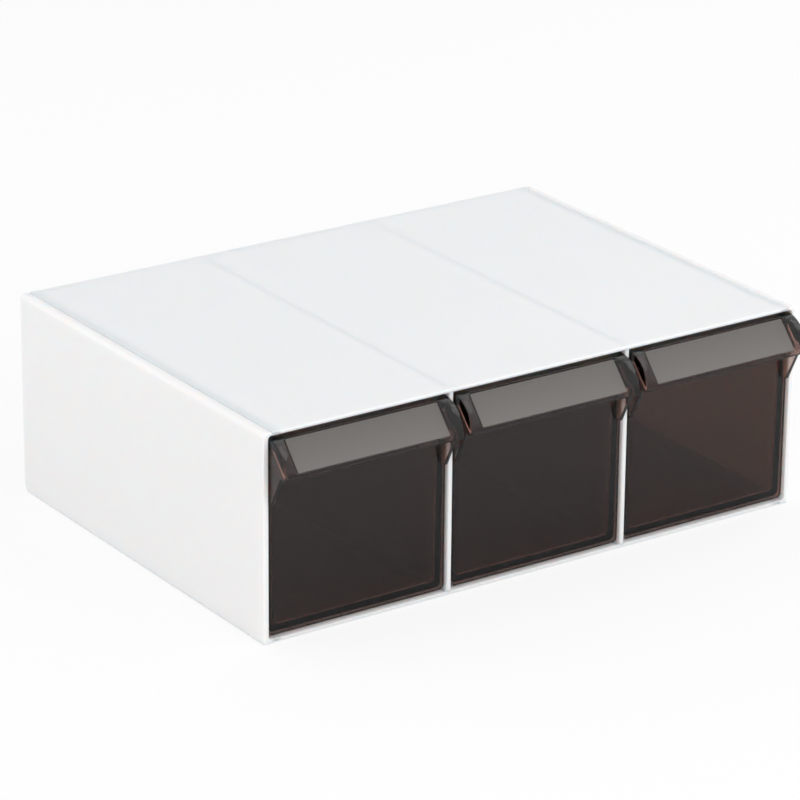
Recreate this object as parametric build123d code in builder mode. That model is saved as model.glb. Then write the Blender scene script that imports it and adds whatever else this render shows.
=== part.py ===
from build123d import *
from math import atan2, cos, hypot, radians, sin, sqrt, tan
import os

# Desktop drawer organizer: a low white case with three bays side by side, and a smoky
# clear drawer in each bay. X is the width, the drawer fronts face -Y, Z is up.
# The origin lies on the table, under the middle of the whole object with its drawers shut.

# Case
case_width = 260.0
case_depth = 186.0
case_height = 87.5          # over the panels, without the foot pads
side_wall = 2.2
top_wall = 1.3
floor_wall = 1.5
divider_wall = 2.1
back_wall = 1.8
back_inset = 1.5            # back panel's outer face, in from the rear edges
shoulder_radius = 2.0       # rolled top edge of each side panel
low_rear_radius = 3.5       # side panel's lower rear corner
rear_ease = 0.6
front_ease = 0.45           # rounding of the case's front rim
bay_corner = 1.5            # rounded corners of the bay openings
divider_flare = 0.8         # the same at a divider's head and foot
flare_edge = 0.2
divider_ease = 0.6
seam_inset = 4.0            # seams of the top and the base, in from the case's sides
seam_gap = 0.3
seam_bevel = 0.3
lap_length = 3.2            # side panel's lip behind each seam
groove_depth = 0.5          # seats of the dividers and of the back panel
groove_play = 0.1
groove_start = 4.0          # a divider's seats stop short of the front rim

# Foot pads
foot_radius = 5.5
foot_height = 1.2
foot_reveal = 0.5           # how far a pad stands out of the base
foot_side_inset = 16.0
foot_end_inset = 18.0
foot_play = 0.2
foot_ease = 0.3

# Runner ribs and drawer stop
rib_width = 1.8
rib_height = 1.7
rib_ramp = 1.2              # sloping ends of a rib
rib_bay_inset = 9.0         # a rib's middle, in from the bay's side
rib_front_gap = 6.0
rib_rear_gap = 8.0
stop_width = 1.6
stop_drop = 2.6             # how far the stop rib hangs below the top panel
stop_side_gap = 2.4         # stop rib's ends, in from the bay's sides
stop_gap = 0.4              # behind the closed drawer's front panel
stop_overlap = 1.0          # how much of a lug the stop rib catches
stop_clearance = 0.7        # tray's rim below the stop rib
stop_ease = 0.4

# Drawer
bay_count = 3
drawer_side_play = 0.6
drawer_rear_play = 1.0
runner_play = 0.2
panel_recess = 1.4          # front panel's face, behind the case's front rim
panel_wall = 2.0
panel_floor_gap = 0.9
panel_top_gap = 1.2
panel_low_corner = 2.0
tray_inset = 0.3            # tray's sides at the rim, in from the panel's edges
tray_root = 0.5             # how far the tray's front is sunk in the front panel
tray_wall = 1.8
tray_floor = 1.9
tray_draft = 0.5            # degrees
tray_corner = 4.0
tray_low_edge = 2.2
tray_inner_edge = 1.7       # the same rounding inside the tray
tray_rim_ease = 0.4
lug_length = 8.0
lug_width = 3.8
lug_depth = 3.0             # how far a lug reaches down the tray's wall
lug_from_rear = 34.0
lug_ease = 0.8

# Hood-shaped finger pull across the top of each front panel
hood_reach = 11.1           # lip's face, in front of the case's front rim
hood_sink = 0.4             # axis of the hood's round, behind the front panel's face
hood_wall = 1.6
hood_ease = 0.35
lip_drop = 1.3              # straight bit of the lip below the hood's round
lip_wall = 1.8
gusset_wall = 1.8
gusset_setback = 3.5        # gusset's edge, behind the lip's face
gusset_drop = 14.3          # gusset's foot, below the lip
gusset_foot = 2.0           # gusset's foot, in front of the panel's face
apex_radius = 1.5           # inside top of the finger space

# Flat label plate let into the hood's slope
rail_width = 6.0            # the hood's round rails on both sides of the plate
plate_low_rise = 1.95       # slope's lower end, above the lip's edge
plate_high_drop = 0.9       # slope's upper end, below the hood's top
plate_high_reach = 1.0      # slope's upper end, in front of the case's front rim
plate_low_margin = 0.5      # bit of the slope left below the plate
plate_thickness = 0.8
plate_play = 0.15
plate_corner = 0.6
recess_draft = 46.0         # degrees, lean of the recess's side walls

cut_over = 1.0              # how far a cutting shape runs past what it cuts
cut_tiny = 0.01

# Planes of the case
base_z = foot_reveal
floor_z = base_z + floor_wall
top_z = base_z + case_height
ceiling_z = top_z - top_wall
front_y = (hood_reach - case_depth) / 2
rear_y = front_y + case_depth
back_outer_y = rear_y - back_inset
back_inner_y = back_outer_y - back_wall
side_x = case_width / 2
side_inner_x = side_x - side_wall
seam_x = side_x - seam_inset
lip_x = seam_x - lap_length
upper_lip_z = ceiling_z + top_wall / 2
lower_lip_z = floor_z - floor_wall / 2
bay_width = (2 * side_inner_x - (bay_count - 1) * divider_wall) / bay_count
bay_pitch = bay_width + divider_wall
bay_height = ceiling_z - floor_z
bay_middles = [(i - (bay_count - 1) / 2) * bay_pitch for i in range(bay_count)]
divider_middles = [x + bay_pitch / 2 for x in bay_middles[:-1]]

# Planes of a drawer
drawer_width = bay_width - 2 * drawer_side_play
panel_y = front_y + panel_recess
panel_back_y = panel_y + panel_wall
panel_low_z = floor_z + panel_floor_gap
hood_top_z = ceiling_z - panel_top_gap
stop_front_y = panel_back_y + stop_gap
stop_back_y = stop_front_y + stop_width
stop_low_z = ceiling_z - stop_drop
tray_low_z = floor_z + rib_height + runner_play
tray_rim_z = stop_low_z - stop_clearance
tray_rear_y = back_inner_y - drawer_rear_play
tray_width = drawer_width - 2 * tray_inset
draft_slope = tan(radians(tray_draft))
lug_front_y = tray_rear_y - lug_from_rear
drawer_travel = lug_front_y - stop_back_y

# Hood: a quarter round about an axis inside the front panel's top edge
hood_axis_y = panel_y + hood_sink
hood_radius = hood_axis_y - (front_y - hood_reach)
hood_axis_z = hood_top_z - hood_radius
lip_y = hood_axis_y - hood_radius
lip_inner_y = lip_y + lip_wall
lip_z = hood_axis_z - lip_drop

# Slope of the label plate in the side view, and the hood's inner face parallel to it
slope_low_z = lip_z + plate_low_rise
slope_low_y = hood_axis_y - sqrt(hood_radius**2 - (slope_low_z - hood_axis_z) ** 2)
slope_high_y = front_y - plate_high_reach
slope_high_z = hood_top_z - plate_high_drop
slope_length = hypot(slope_high_y - slope_low_y, slope_high_z - slope_low_z)
slope_angle = atan2(slope_high_z - slope_low_z, slope_high_y - slope_low_y)
plate_length = slope_length - plate_low_margin
plate_width = drawer_width - 2 * rail_width
hood_bulge = hood_radius - sqrt(hood_radius**2 - (slope_length / 2) ** 2)
inner_drop = (plate_thickness + hood_wall) / cos(slope_angle)

print("bay", round(bay_width, 2), "drawer", round(drawer_width, 2), "travel", round(drawer_travel, 2))


def corner(sketch, x, y):
    """The vertex of a sketch nearest to a point of its own plane."""
    return sketch.vertices().sort_by_distance((x, y))[0]


def inner_face_z(y):
    """Height of the hood's sloping inner face at a place in the depth."""
    return slope_low_z + (y - slope_low_y) * tan(slope_angle) - inner_drop


def slope_plane(middle_x, depth):
    """A plane in the label plate's slope, sunk by depth, with its origin at the lower end."""
    outward = Vector(0, -sin(slope_angle), cos(slope_angle))
    low_end = Vector(middle_x, slope_low_y, slope_low_z) - outward * depth
    return Plane(origin=low_end, x_dir=(1, 0, 0), z_dir=outward)


def make_rounded_block(middle_x, sections, corner_radius, low_radius, from_y):
    """Straight walls through sections of (z, width, front, rear), rounded behind a place in the depth."""
    def behind(items):
        return items.filter_by(lambda item: item.center().Y > from_y)

    with BuildPart() as block:
        for z, width, front, rear in sections:
            with BuildSketch(Plane.XY.offset(z)) as section:
                with Locations((middle_x, (front + rear) / 2)):
                    Rectangle(width, rear - front)
                fillet(behind(section.vertices()), corner_radius)
        loft(ruled=True)
        fillet(behind(block.faces().sort_by(Axis.Z)[0].edges()), low_radius)
    return block


def save(piece, name):
    piece.part.label = name
    export_step(piece.part, f"parts/{name}.step")


def make_right_side_panel():
    """A wall with a rolled shoulder, and a lip above and below that the lids lap over."""
    with BuildPart() as panel:
        with BuildSketch(Plane.XZ.offset(-front_y)) as profile:
            with BuildLine():
                Polyline(
                    (side_x, base_z), (side_x, top_z), (seam_x, top_z), (seam_x, upper_lip_z),
                    (lip_x, upper_lip_z), (lip_x, ceiling_z), (side_inner_x, ceiling_z),
                    (side_inner_x, floor_z), (lip_x, floor_z), (lip_x, lower_lip_z),
                    (seam_x, lower_lip_z), (seam_x, base_z), close=True,
                )
            make_face()
            fillet(corner(profile, side_x, top_z), shoulder_radius)
            fillet(corner(profile, side_inner_x, ceiling_z), bay_corner)
            fillet(corner(profile, side_inner_x, floor_z), bay_corner)
            chamfer(corner(profile, seam_x, top_z), seam_bevel)
        extrude(amount=-case_depth)
        with BuildSketch(Plane.YZ) as outline:
            with Locations(((front_y + rear_y) / 2, (base_z + top_z) / 2)):
                Rectangle(case_depth, case_height)
            fillet(corner(outline, rear_y, base_z), low_rear_radius)
            fillet(corner(outline, rear_y, top_z), rear_ease)
        extrude(amount=side_x, mode=Mode.INTERSECT)
        # seat of the back panel
        with Locations((side_inner_x + groove_depth, back_outer_y + groove_play, base_z)):
            Box(
                side_inner_x + groove_depth - lip_x, back_wall + groove_play,
                ceiling_z + groove_depth - base_z,
                align=(Align.MAX, Align.MAX, Align.MIN), mode=Mode.SUBTRACT,
            )
        outer_half = panel.faces().sort_by(Axis.Y)[0].edges().filter_by(
            lambda edge: edge.center().X > side_x - side_wall / 2 and edge.center().Z > floor_z
        )
        fillet(outer_half, front_ease)
    return panel


def make_top_panel():
    """Flat lid between the seams, with the dividers' seats and the drawer stops below."""
    edge_x = seam_x - seam_gap
    with BuildPart() as panel:
        with BuildSketch(Plane.XZ.offset(-front_y)):
            with Locations((0, (ceiling_z + top_z) / 2)):
                Rectangle(2 * (lip_x - seam_gap), top_wall)
            with Locations((0, (upper_lip_z + top_z) / 2)):
                Rectangle(2 * edge_x, top_z - upper_lip_z)
        extrude(amount=-case_depth)
        seams = panel.faces().sort_by(Axis.Z)[-1].edges().filter_by(Axis.Y)
        chamfer(seams, seam_bevel)
        ends = panel.faces().sort_by(Axis.Z)[-1].edges().filter_by(Axis.X)
        fillet(ends.sort_by(Axis.Y)[0], front_ease)
        fillet(ends.sort_by(Axis.Y)[-1], rear_ease)
        for x in divider_middles:
            with Locations((x, front_y + groove_start, ceiling_z)):
                Box(
                    divider_wall + 2 * groove_play, back_inner_y - front_y - groove_start, groove_depth,
                    align=(Align.CENTER, Align.MIN, Align.MIN), mode=Mode.SUBTRACT,
                )
        with Locations((0, back_outer_y + groove_play, ceiling_z)):
            Box(
                2 * lip_x, back_wall + groove_play, groove_depth,
                align=(Align.CENTER, Align.MAX, Align.MIN), mode=Mode.SUBTRACT,
            )
        for x in bay_middles:
            with BuildSketch(Plane.YZ.offset(x - bay_width / 2 + stop_side_gap)) as stop:
                with Locations(((stop_front_y + stop_back_y) / 2, (stop_low_z + ceiling_z) / 2)):
                    Rectangle(stop_width, stop_drop)
                chamfer(stop.vertices().group_by(Axis.Y)[0], stop_ease)
            extrude(amount=bay_width - 2 * stop_side_gap)
    return panel


def make_bottom_panel():
    """Floor of the bays, with the runner ribs above and the foot pads' seats below."""
    with BuildPart() as panel:
        with BuildSketch(Plane.XZ.offset(-front_y)):
            with Locations((0, (base_z + floor_z) / 2)):
                Rectangle(2 * (lip_x - seam_gap), floor_wall)
            with Locations((0, (base_z + lower_lip_z) / 2)):
                Rectangle(2 * (seam_x - seam_gap), lower_lip_z - base_z)
        extrude(amount=front_y - back_inner_y)
        front_edges = panel.faces().sort_by(Axis.Y)[0].edges().filter_by(Axis.X)
        fillet(front_edges.sort_by(Axis.Z)[0], front_ease)
        for x in divider_middles:
            with Locations((x, front_y + groove_start, floor_z)):
                Box(
                    divider_wall + 2 * groove_play, back_inner_y - front_y - groove_start, groove_depth,
                    align=(Align.CENTER, Align.MIN, Align.MAX), mode=Mode.SUBTRACT,
                )
        rib_front_y = panel_back_y + rib_front_gap
        rib_reach = bay_width / 2 - rib_bay_inset
        for x in bay_middles:
            with Locations((x - rib_reach, rib_front_y, floor_z), (x + rib_reach, rib_front_y, floor_z)):
                Box(
                    rib_width, back_inner_y - rib_rear_gap - rib_front_y, rib_height,
                    align=(Align.CENTER, Align.MIN, Align.MIN),
                )
        chamfer(panel.edges().group_by(Axis.Z)[-1].filter_by(Axis.X), rib_ramp)
        with BuildSketch(Plane.XY.offset(base_z)):
            with Locations(*foot_places()):
                Circle(foot_radius + foot_play)
        extrude(amount=foot_height - foot_reveal, mode=Mode.SUBTRACT)
    return panel


def foot_places():
    """Middles of the four foot pads in plan: front left, front right, rear left, rear right."""
    reach_x = side_x - foot_side_inset
    rows = (front_y + foot_end_inset, rear_y - foot_end_inset)
    return [(x, y) for y in rows for x in (-reach_x, reach_x)]


def make_foot_pad(place):
    with BuildPart() as pad:
        with BuildSketch():
            with Locations(place):
                Circle(foot_radius)
        extrude(amount=foot_height)
        chamfer(pad.faces().sort_by(Axis.Z)[0].edges(), foot_ease)
    return pad


def make_back_panel():
    """Slides up into the grooves of the side panels and the top panel."""
    low_z = base_z + front_ease
    with BuildPart() as panel:
        with BuildSketch(Plane.XZ.offset(-back_outer_y)):
            with Locations((0, (low_z + ceiling_z + groove_depth) / 2)):
                Rectangle(2 * (side_inner_x + groove_depth - groove_play), ceiling_z + groove_depth - low_z)
        extrude(amount=back_wall)
        low_edges = panel.faces().sort_by(Axis.Y)[-1].edges().filter_by(Axis.X)
        fillet(low_edges.sort_by(Axis.Z)[0], front_ease)
    return panel


def make_divider(middle_x):
    """A thin wall that flares into rounded bay corners, with a tongue along its head and foot."""
    with BuildPart() as divider:
        with BuildSketch(Plane.XY.offset(floor_z)) as web:
            with Locations((middle_x, (front_y + back_inner_y) / 2)):
                Rectangle(divider_wall, back_inner_y - front_y)
            fillet(web.vertices().group_by(Axis.Y)[0], divider_ease)
        extrude(amount=bay_height)
        flare_y = front_y + divider_ease
        with BuildSketch(Plane.XZ.offset(-flare_y)) as section:
            with Locations((middle_x, (floor_z + ceiling_z) / 2)):
                Rectangle(divider_wall, bay_height)
            for z in (floor_z + flare_edge / 2, ceiling_z - flare_edge / 2):
                with Locations((middle_x, z)):
                    Rectangle(divider_wall + 2 * (divider_flare + flare_edge), flare_edge)
            for z in (floor_z + flare_edge, ceiling_z - flare_edge):
                for x in (middle_x - divider_wall / 2, middle_x + divider_wall / 2):
                    fillet(corner(section, x, z), divider_flare)
        extrude(amount=flare_y - back_inner_y)
        tongue_y = front_y + groove_start + groove_play
        with Locations((middle_x, tongue_y, floor_z - groove_depth)):
            Box(
                divider_wall, back_inner_y - tongue_y, bay_height + 2 * groove_depth,
                align=(Align.CENTER, Align.MIN, Align.MIN),
            )
    return divider


def make_tray_core(middle_x):
    """The space inside a tray, with the mould's draft and an eased mouth."""
    low_z = tray_low_z + tray_floor
    shrink = (tray_rim_z - low_z) * draft_slope
    width = tray_width - 2 * tray_wall
    front, rear = panel_back_y, tray_rear_y - tray_wall
    mouth = (width + 2 * tray_rim_ease, front - tray_rim_ease, rear + tray_rim_ease)
    sections = [
        (low_z, width - 2 * shrink, front + shrink, rear - shrink),
        (tray_rim_z - tray_rim_ease, width, front, rear),
        (tray_rim_z, *mouth),
        (hood_top_z, *mouth),
    ]
    return make_rounded_block(middle_x, sections, tray_corner - tray_wall, tray_inner_edge, front_y)


def make_tray_block(middle_x):
    """The tray's outer form, whose front lies inside the front panel."""
    shrink = (tray_rim_z - tray_low_z) * draft_slope
    front = panel_back_y - tray_root
    sections = [
        (tray_low_z, tray_width - 2 * shrink, front, tray_rear_y - shrink),
        (tray_rim_z - tray_rim_ease, tray_width, front, tray_rear_y),
        (tray_rim_z, tray_width - 2 * tray_rim_ease, front, tray_rear_y - tray_rim_ease),
    ]
    return make_rounded_block(middle_x, sections, tray_corner, tray_low_edge, panel_back_y)


def make_plate_recess(middle_x):
    """What is cut out of the hood's slope: a leaning-walled recess over the plate's pocket."""
    with BuildPart() as recess:
        with BuildSketch(slope_plane(middle_x, 0)):
            with Locations((0, plate_low_margin)):
                Rectangle(plate_width, plate_length, align=(Align.CENTER, Align.MIN))
        extrude(amount=hood_bulge + cut_over, taper=-recess_draft)
        with BuildSketch(slope_plane(middle_x, plate_thickness)) as pocket:
            with Locations((0, plate_low_margin)):
                Rectangle(plate_width, plate_length, align=(Align.CENTER, Align.MIN))
            fillet(pocket.vertices(), plate_corner)
        extrude(amount=plate_thickness)
    return recess


def make_lug(middle_x, side):
    """A hooked ledge on the rim of a tray's side wall, which meets the stop rib."""
    outer_x = middle_x + side * (tray_width / 2 - tray_rim_ease)
    wall_x = middle_x + side * (tray_width / 2 - tray_wall)
    inner_x = middle_x + side * (tray_width / 2 - lug_width)
    top = stop_low_z + stop_overlap
    with BuildPart() as lug:
        with BuildSketch(Plane.XZ.offset(-lug_front_y)):
            with BuildLine():
                Polyline(
                    (outer_x, top), (inner_x, top), (inner_x, tray_rim_z),
                    (wall_x, tray_rim_z - lug_depth), (outer_x, tray_rim_z - lug_depth), close=True,
                )
            make_face()
        extrude(amount=-lug_length)
        ramp = lug.faces().sort_by(Axis.Z)[-1].edges().filter_by(Axis.X).sort_by(Axis.Y)[-1]
        fillet(ramp, lug_ease)
    return lug


def make_finger_space(middle_x):
    """The space under a hood, between its gussets and open below."""
    low_z = lip_z - gusset_drop - cut_over
    with BuildPart() as space:
        with BuildSketch(Plane.YZ.offset(middle_x - drawer_width / 2 + gusset_wall)) as profile:
            with BuildLine():
                Polyline(
                    (panel_y, low_z), (panel_y, inner_face_z(panel_y)),
                    (lip_inner_y, inner_face_z(lip_inner_y)), (lip_inner_y, low_z), close=True,
                )
            make_face()
            fillet(corner(profile, panel_y, inner_face_z(panel_y)), apex_radius)
            with Locations((lip_y - cut_over, low_z)):
                Rectangle(
                    panel_y - lip_y + cut_over, lip_z - low_z, align=(Align.MIN, Align.MIN),
                )
        extrude(amount=drawer_width - 2 * gusset_wall)
    return space


def make_drawer(middle_x):
    """Tray, front panel and hooded finger pull, moulded in one."""
    tray = make_tray_block(middle_x)
    core = make_tray_core(middle_x)
    recess = make_plate_recess(middle_x)
    finger_space = make_finger_space(middle_x)
    lugs = [make_lug(middle_x, side) for side in (-1, 1)]
    with BuildPart() as drawer:
        add(tray.part)
        add(core.part, mode=Mode.SUBTRACT)
        for lug in lugs:
            add(lug.part)
        # front panel
        with BuildSketch(Plane.XZ.offset(-panel_y)) as face:
            with Locations((middle_x, (panel_low_z + hood_top_z) / 2)):
                Rectangle(drawer_width, hood_top_z - panel_low_z)
            fillet(face.vertices().group_by(Axis.Y)[0], panel_low_corner)
        extrude(amount=-panel_wall)
        # hood with its gussets, cut from one block as wide as the panel
        with BuildSketch(Plane.YZ.offset(middle_x - drawer_width / 2)):
            with BuildLine():
                round_middle = hood_radius * sin(radians(45))
                ThreePointArc(
                    (hood_axis_y, hood_top_z),
                    (hood_axis_y - round_middle, hood_axis_z + round_middle),
                    (lip_y, hood_axis_z),
                )
                Polyline(
                    (lip_y, hood_axis_z), (lip_y, lip_z), (lip_y + gusset_setback, lip_z),
                    (panel_y - gusset_foot, lip_z - gusset_drop), (hood_axis_y, lip_z - gusset_drop),
                    (hood_axis_y, hood_top_z),
                )
            make_face()
        extrude(amount=drawer_width)
        for side in (-1, 1):
            end_x = middle_x + side * drawer_width / 2
            end = drawer.edges().filter_by_position(Axis.X, end_x - cut_tiny, end_x + cut_tiny)
            chamfer(end.filter_by(lambda edge: edge.center().Y < front_y), hood_ease)
        add(finger_space.part, mode=Mode.SUBTRACT)
        add(recess.part, mode=Mode.SUBTRACT)
    return drawer


def make_label_plate(middle_x):
    """Flat plate that lies in the pocket of a hood's slope."""
    with BuildPart() as plate:
        with BuildSketch(slope_plane(middle_x, plate_thickness)) as outline:
            with Locations((0, plate_low_margin + plate_length / 2)):
                Rectangle(plate_width - 2 * plate_play, plate_length - 2 * plate_play)
            fillet(outline.vertices(), plate_corner - plate_play)
        extrude(amount=plate_thickness)
    return plate


os.makedirs("parts", exist_ok=True)

right_side_panel = make_right_side_panel()
with BuildPart() as left_side_panel:
    mirror(right_side_panel.part, about=Plane.YZ)
save(right_side_panel, "right_side_panel")
save(left_side_panel, "left_side_panel")
save(make_top_panel(), "top_panel")
save(make_bottom_panel(), "bottom_panel")
save(make_back_panel(), "back_panel")
for name, middle in zip(("left_divider", "right_divider"), divider_middles):
    save(make_divider(middle), name)
for name, place in zip(("front_left", "front_right", "rear_left", "rear_right"), foot_places()):
    save(make_foot_pad(place), name + "_foot")
for name, middle in zip(("left", "middle", "right"), bay_middles):
    save(make_drawer(middle), name + "_drawer")
    save(make_label_plate(middle), name + "_label_plate")
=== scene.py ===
import math

import bpy
import numpy as np
from mathutils import Matrix, Vector


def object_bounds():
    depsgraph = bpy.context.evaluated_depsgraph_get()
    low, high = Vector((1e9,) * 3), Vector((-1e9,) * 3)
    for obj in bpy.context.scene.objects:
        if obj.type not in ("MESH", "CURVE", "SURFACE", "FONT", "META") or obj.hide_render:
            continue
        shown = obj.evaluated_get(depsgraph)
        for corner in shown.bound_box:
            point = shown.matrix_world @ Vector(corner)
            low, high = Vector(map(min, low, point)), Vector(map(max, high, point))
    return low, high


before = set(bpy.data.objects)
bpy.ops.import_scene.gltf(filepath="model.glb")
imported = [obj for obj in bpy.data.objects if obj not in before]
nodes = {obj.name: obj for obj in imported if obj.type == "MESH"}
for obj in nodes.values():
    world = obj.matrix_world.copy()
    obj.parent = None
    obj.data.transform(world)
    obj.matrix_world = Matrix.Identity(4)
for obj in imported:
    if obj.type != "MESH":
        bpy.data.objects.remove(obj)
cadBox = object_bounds()
print("frame loaded:", len(nodes), "nodes")


# A node socket that takes part in Python sums: each sum adds a Math node to its tree.
class Wire:
    def __init__(self, tree, socket=None):
        self.tree = tree
        self.socket = socket

    # Adds a node. Its settings come first, then its inputs by name or number, and one output comes back.
    def node(self, kind, settings=None, inputs=None, output=0):
        made = self.tree.nodes.new(kind)
        for name, value in (settings or {}).items():
            setattr(made, name, value)
        for key, value in (inputs or {}).items():
            if isinstance(value, Wire):
                self.tree.links.new(value.socket, made.inputs[key])
            else:
                made.inputs[key].default_value = value
        return Wire(self.tree, made.outputs[output] if made.outputs else None)

    def maths(self, operation, first, second=0.0):
        return self.node("ShaderNodeMath", {"operation": operation}, {0: first, 1: second})

    def __add__(self, other):
        return self.maths("ADD", self, other)

    __radd__ = __add__

    def __mul__(self, other):
        return self.maths("MULTIPLY", self, other)

    __rmul__ = __mul__

    def __sub__(self, other):
        return self.maths("SUBTRACT", self, other)

    def __rsub__(self, other):
        return self.maths("SUBTRACT", other, self)


# Starts a material and gives its empty tree as a wire.
def startMaterial(name):
    material = bpy.data.materials.new(name)
    material.use_nodes = True
    material.node_tree.nodes.clear()
    return material, Wire(material.node_tree)


# Several sockets of a Mix node share one name, so those for colours are taken by number.
mixSockets = {"factor": 0, "low": 6, "high": 7, "result": 2}


# A colour between two others, by a factor that may vary over the surface.
def mixColour(wire, factor, low, high):
    inputs = {mixSockets["factor"]: factor, mixSockets["low"]: low, mixSockets["high"]: high}
    return wire.node("ShaderNodeMix", {"data_type": "RGBA"}, inputs, output=mixSockets["result"])


# Kinds of fractal noise, from one smooth wave to fine smudges, and the value that they vary about.
noiseKinds = {
    "smooth": {"Detail": 0.0, "Roughness": 0.5},
    "grainy": {"Detail": 1.0, "Roughness": 0.5},
    "etched": {"Detail": 2.0, "Roughness": 0.5},
    "cloudy": {"Detail": 3.0, "Roughness": 0.5},
    "smudgy": {"Detail": 4.0, "Roughness": 0.6},
}
noiseMiddle = 0.5


# Noise of one kind, its size in metres of the object's own space.
def noise(wire, place, size, kind):
    return wire.node("ShaderNodeTexNoise", None, {"Vector": place, "Scale": 1 / size, **noiseKinds[kind]})


def finishMaterial(wire, inputs):
    shader = wire.node("ShaderNodeBsdfPrincipled", None, inputs)
    wire.node("ShaderNodeOutputMaterial", None, {"Surface": shader})


# White case plastic: satin, with the mould's fine grain and a faint cloudiness. A little light goes into it
# and comes out again, and some passes through its walls.
casePlastic = {
    "colour": (0.925, 0.899, 0.896, 1), "cloud": (0.908, 0.882, 0.88, 1), "cloudSize": 0.06,
    "roughness": 0.40, "roughnessSpread": 0.10, "smudgeSize": 0.03,
    "grainSize": 0.00045, "grainHeight": 0.000006,
    "depth": 0.0025, "glow": 0.9, "reach": (1.0, 0.75, 0.65),
}


def makeCasePlastic():
    say = casePlastic
    material, wire = startMaterial("casePlastic")
    place = wire.node("ShaderNodeTexCoord", output="Object")
    cloud = noise(wire, place, say["cloudSize"], "cloudy")
    smudge = noise(wire, place, say["smudgeSize"], "smudgy")
    grain = noise(wire, place, say["grainSize"], "grainy")
    bump = wire.node("ShaderNodeBump", None, {"Distance": say["grainHeight"], "Height": grain})
    finishMaterial(wire, {
        "Base Color": mixColour(wire, cloud, say["colour"], say["cloud"]),
        "Roughness": (smudge - noiseMiddle) * say["roughnessSpread"] + say["roughness"],
        "Normal": bump,
        "Subsurface Weight": say["glow"],
        "Subsurface Radius": say["reach"],
        "Subsurface Scale": say["depth"],
    })
    return material


# Smoky see-through plastic of the drawers: glossy, with faint flow lines and eased edges. Its depth gives
# the brown tint.
smokePlastic = {
    "colour": (0.98, 0.97, 0.965, 1), "flow": (0.94, 0.92, 0.91, 1), "flowSize": 0.05,
    "roughness": 0.02, "roughnessSpread": 0.04, "smudgeSize": 0.02,
    "waveSize": 0.03, "waveHeight": 0.00002, "index": 1.5, "edge": 0.0006, "edgeSamples": 8,
    "depthColour": (0.456, 0.254, 0.19, 1), "depthDensity": 480.0, "lampColour": (0.76, 0.75, 0.75, 1),
}


def makeSmokePlastic():
    say = smokePlastic
    material, wire = startMaterial("smokePlastic")
    place = wire.node("ShaderNodeTexCoord", output="Object")
    flow = noise(wire, place, say["flowSize"], "cloudy")
    smudge = noise(wire, place, say["smudgeSize"], "smudgy")
    wave = noise(wire, place, say["waveSize"], "smooth")
    eased = wire.node("ShaderNodeBevel", {"samples": say["edgeSamples"]}, {"Radius": say["edge"]})
    bump = wire.node("ShaderNodeBump", None, {
        "Distance": say["waveHeight"], "Height": wave, "Normal": eased,
    })
    shader = wire.node("ShaderNodeBsdfPrincipled", None, {
        "Base Color": mixColour(wire, flow, say["colour"], say["flow"]),
        "Roughness": smudge * say["roughnessSpread"] + say["roughness"],
        "Normal": bump,
        "IOR": say["index"],
        "Transmission Weight": 1.0,
    })
    # lamps shine straight through, so the things inside are lit without noise
    clear = wire.node("ShaderNodeBsdfTransparent", None, {"Color": say["lampColour"]})
    shadowRay = wire.node("ShaderNodeLightPath", output="Is Shadow Ray")
    surface = wire.node("ShaderNodeMixShader", None, {0: shadowRay, 1: shader, 2: clear})
    volume = wire.node("ShaderNodeVolumeAbsorption", None, {
        "Color": say["depthColour"], "Density": say["depthDensity"],
    })
    wire.node("ShaderNodeOutputMaterial", None, {"Surface": surface, "Volume": volume})
    return material


# Frosted label plates: matt warm grey with a fine etched grain. Their colour is painted a little paler
# towards the lower edge and darker upwards, a painted shading gradient of how light falls on them.
labelFrost = {
    # the plate's colours at its lower and upper edge, with painted shading between them
    "low": (0.142, 0.132, 0.123, 1), "high": (0.101, 0.094, 0.087, 1), "lowZ": 0.0733, "rise": 0.0113,
    "etchSize": 0.0006, "etchShare": 0.25, "edge": 0.0003, "edgeSamples": 6,
    "roughness": 0.5, "roughnessSpread": 0.1, "grainHeight": 0.00001,
}


def makeLabelFrost():
    say = labelFrost
    material, wire = startMaterial("labelFrost")
    place = wire.node("ShaderNodeTexCoord", output="Object")
    etch = noise(wire, place, say["etchSize"], "etched")
    eased = wire.node("ShaderNodeBevel", {"samples": say["edgeSamples"]}, {"Radius": say["edge"]})
    bump = wire.node("ShaderNodeBump", None, {
        "Distance": say["grainHeight"], "Height": etch, "Normal": eased,
    })
    height = wire.node("ShaderNodeSeparateXYZ", None, {"Vector": place}, output="Z")
    # painted shade: the colour darkens with height up the plate, standing in for how light falls on it
    paintedShadeRamp = (height - say["lowZ"]) * (1 / say["rise"]) + (etch - noiseMiddle) * say["etchShare"]
    finishMaterial(wire, {
        "Base Color": mixColour(wire, paintedShadeRamp, say["low"], say["high"]),
        "Roughness": etch * say["roughnessSpread"] + say["roughness"],
        "Normal": bump,
    })
    return material


# Rubber of the foot pads.
footRubber = {
    "colour": (0.30, 0.30, 0.31, 1), "speck": (0.24, 0.24, 0.25, 1), "speckSize": 0.0008,
    "roughness": 0.75, "roughnessSpread": 0.12, "grainHeight": 0.00003,
}


def makeFootRubber():
    say = footRubber
    material, wire = startMaterial("footRubber")
    place = wire.node("ShaderNodeTexCoord", output="Object")
    speck = noise(wire, place, say["speckSize"], "cloudy")
    bump = wire.node("ShaderNodeBump", None, {"Distance": say["grainHeight"], "Height": speck})
    finishMaterial(wire, {
        "Base Color": mixColour(wire, speck, say["colour"], say["speck"]),
        "Roughness": speck * say["roughnessSpread"] + say["roughness"],
        "Normal": bump,
    })
    return material


# Each node takes the material that its name calls for.
finishes = {
    "drawer": makeSmokePlastic(), "plate": makeLabelFrost(), "foot": makeFootRubber(),
    "panel": makeCasePlastic(),
}
finishes["divider"] = finishes["panel"]
for name, piece in nodes.items():
    finish = finishes[name.split("_")[-1]]
    if not piece.material_slots:
        piece.data.materials.append(finish)
    for slot in piece.material_slots:
        slot.material = finish
print("materials given")


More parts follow.
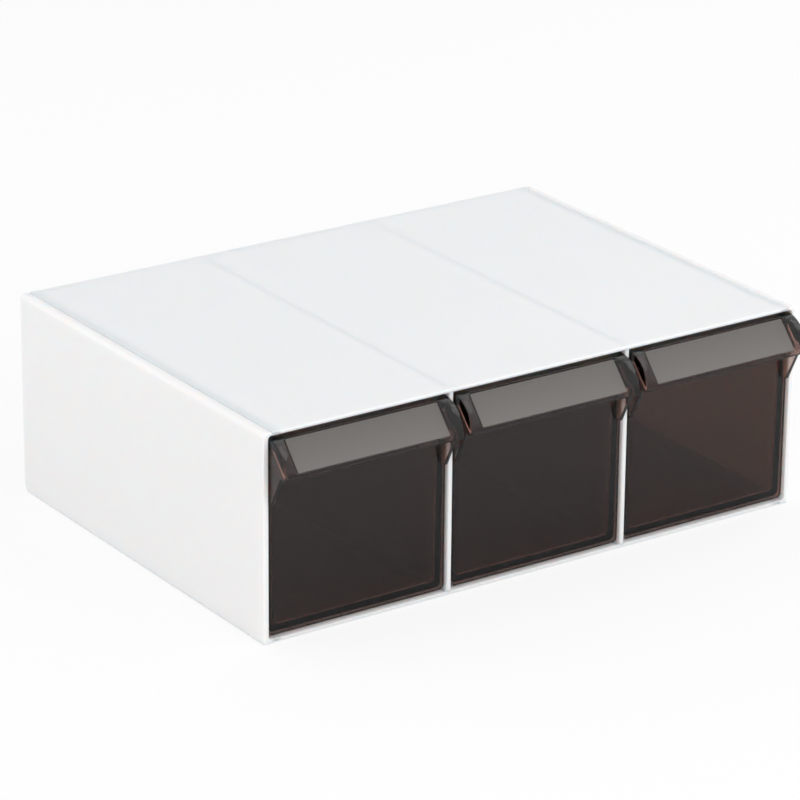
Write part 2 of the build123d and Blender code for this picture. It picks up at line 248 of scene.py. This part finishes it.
# Shading runs smoothly over rounds and eased edges, and flat faces stay flat.
shading = {"mergeDistance": 0.000002, "sharpAngle": 50.0, "weight": 50}


def makeShadingTree():
    tree = bpy.data.node_groups.new("smoothShading", "GeometryNodeTree")
    tree.interface.new_socket("Geometry", in_out="INPUT", socket_type="NodeSocketGeometry")
    tree.interface.new_socket("Geometry", in_out="OUTPUT", socket_type="NodeSocketGeometry")
    wire = Wire(tree)
    shape = wire.node("NodeGroupInput")
    merged = wire.node("GeometryNodeMergeByDistance", None, {
        "Geometry": shape, "Distance": shading["mergeDistance"],
    })
    smooth = wire.node("GeometryNodeSetShadeSmooth", {"domain": "FACE"}, {
        "Geometry": merged, "Shade Smooth": True,
    })
    angle = wire.node("GeometryNodeInputMeshEdgeAngle")
    creased = wire.node("GeometryNodeSetShadeSmooth", {"domain": "EDGE"}, {
        "Geometry": smooth, "Shade Smooth": False,
        "Selection": wire.maths("GREATER_THAN", angle, math.radians(shading["sharpAngle"])),
    })
    wire.node("NodeGroupOutput", None, {"Geometry": creased})
    return tree


shadingTree = makeShadingTree()
for piece in nodes.values():
    smoothing = piece.modifiers.new("smoothShading", "NODES")
    smoothing.node_group = shadingTree
    weighting = piece.modifiers.new("flatFaces", "WEIGHTED_NORMAL")
    weighting.weight = shading["weight"]
    weighting.keep_sharp = True
print("shading smoothed")


# Pale floor that is white to the camera, but for the object's soft shadow. It lights the object, and shows
# in its gloss, as pale grey paper does.
floor = {
    "size": 6.0, "colour": (0.68, 0.68, 0.68, 1), "cameraColour": (0.95, 0.95, 0.95, 1),
    "whiteShares": (0.8, 0.0, 0.2), "whiteStrength": 1.0,
}


# Rays that see the background: the camera's, gloss's and clear plastic's.
seeingRays = ("Is Camera Ray", "Is Glossy Ray", "Is Transmission Ray")


# How much of the background's own white a ray sees: the share of its kind, and none for other rays.
def seenShare(wire, shares):
    kinds = [wire.node("ShaderNodeLightPath", output=name) for name in seeingRays]
    camera, gloss, clear = [kind * share for kind, share in zip(kinds, shares)]
    return wire.maths("MAXIMUM", wire.maths("MAXIMUM", camera, gloss), clear)


def makeFloor():
    half = floor["size"] / 2
    corners = np.array([(-half, -half, 0), (half, -half, 0), (half, half, 0), (-half, half, 0)])
    mesh = bpy.data.meshes.new("floor")
    mesh.from_pydata(corners.tolist(), [], [(0, 1, 2, 3)])
    piece = bpy.data.objects.new("floor", mesh)
    bpy.context.scene.collection.objects.link(piece)
    material, wire = startMaterial("floorPaper")
    cameraRay = wire.node("ShaderNodeLightPath", output="Is Camera Ray")
    paper = wire.node("ShaderNodeBsdfDiffuse", None, {
        "Color": mixColour(wire, cameraRay, floor["colour"], floor["cameraColour"]),
    })
    white = wire.node("ShaderNodeEmission", None, {"Strength": floor["whiteStrength"]})
    seen = wire.node("ShaderNodeMixShader", None, {
        0: seenShare(wire, floor["whiteShares"]), 1: paper, 2: white,
    })
    wire.node("ShaderNodeOutputMaterial", None, {"Surface": seen})
    mesh.materials.append(material)


# Soft studio light: an even white surround and large lamps. Places are in metres from the object's middle.
# Gloss mirrors the surround and the two highest lamps. The lamps nearer the floor would blow out the top
# in views from the other side.
surround = {"strength": 0.5, "seen": 1.0, "seenShares": (1, 1, 1), "colour": (1, 1, 1, 1)}
mirroredLamps = ("highSoftbox", "middleSoftbox")
lamps = {
    "highSoftbox": {"place": (0.9, 0.25, 1.4), "size": (1.0, 1.0), "power": 1.2},
    "middleSoftbox": {"place": (0.9, -0.62, 1.3), "size": (1.0, 1.0), "power": 4.0},
    "lowSoftbox": {"place": (0.9, -1.3, 0.66), "size": (1.0, 1.0), "power": 6.0},
    "frontLamp": {"place": (-0.4, -1.75, 0.76), "size": (2.6, 1.45), "power": 14.5},
    "leftLamp": {"place": (-1.65, 0.3, 0.6), "size": (2.2, 1.2), "power": 10.5},
    "rightLamp": {"place": (1.5, 0.1, 0.6), "size": (1.4, 1.1), "power": 3.6},
    "backLamp": {"place": (-0.95, 1.5, 0.55), "size": (1.6, 1.1), "power": 7.0},
}


def makeLight():
    world = bpy.data.worlds.new("surround")
    world.use_nodes = True
    world.node_tree.nodes.clear()
    wire = Wire(world.node_tree)
    seen = seenShare(wire, surround["seenShares"])
    strength = seen * (surround["seen"] - surround["strength"]) + surround["strength"]
    sky = wire.node("ShaderNodeBackground", None, {"Color": surround["colour"], "Strength": strength})
    wire.node("ShaderNodeOutputWorld", None, {"Surface": sky})
    bpy.context.scene.world = world
    middle = (cadBox[0] + cadBox[1]) / 2
    for name, say in lamps.items():
        lamp = bpy.data.lights.new(name, "AREA")
        lamp.shape = "RECTANGLE"
        lamp.size, lamp.size_y = say["size"]
        lamp.energy = say["power"]
        holder = bpy.data.objects.new(name, lamp)
        holder.location = middle + Vector(say["place"])
        holder.visible_glossy = name in mirroredLamps
        holder.rotation_euler = (-Vector(say["place"])).to_track_quat("-Z", "Y").to_euler()
        bpy.context.scene.collection.objects.link(holder)


# The photograph's camera: it looks at a point near the object's middle, from the left and above.
camera = {
    "azimuth": -34.512, "elevation": 21.416, "roll": 0.505, "distance": 1.7331,
    "aim": (-0.00459, 0.0038, 0.0012), "lens": 188.14, "sensor": 36.0, "sight": 20.0,
}


# Right, up and back directions from the two view angles, then turned by the roll.
def makeCamera():
    azimuth, elevation, roll = (math.radians(camera[key]) for key in ("azimuth", "elevation", "roll"))
    back = Vector((
        math.sin(azimuth) * math.cos(elevation),
        -math.cos(azimuth) * math.cos(elevation),
        math.sin(elevation),
    ))
    right = Vector((math.cos(azimuth), math.sin(azimuth), 0))
    up = back.cross(right)
    rolledRight = right * math.cos(roll) + up * math.sin(roll)
    rolledUp = up * math.cos(roll) - right * math.sin(roll)
    view = bpy.data.cameras.new("photoCamera")
    view.sensor_width = camera["sensor"]
    view.lens = camera["lens"]
    view.clip_end = camera["sight"]
    holder = bpy.data.objects.new("photoCamera", view)
    place = (cadBox[0] + cadBox[1]) / 2 + Vector(camera["aim"]) + back * camera["distance"]
    turn = Matrix((rolledRight, rolledUp, back)).transposed()
    holder.matrix_world = Matrix.Translation(place) @ turn.to_4x4()
    bpy.context.scene.collection.objects.link(holder)
    bpy.context.scene.camera = holder


makeFloor()
makeLight()
makeCamera()
bpy.context.scene.view_settings.view_transform = "Standard"
print("stage, light and camera set")
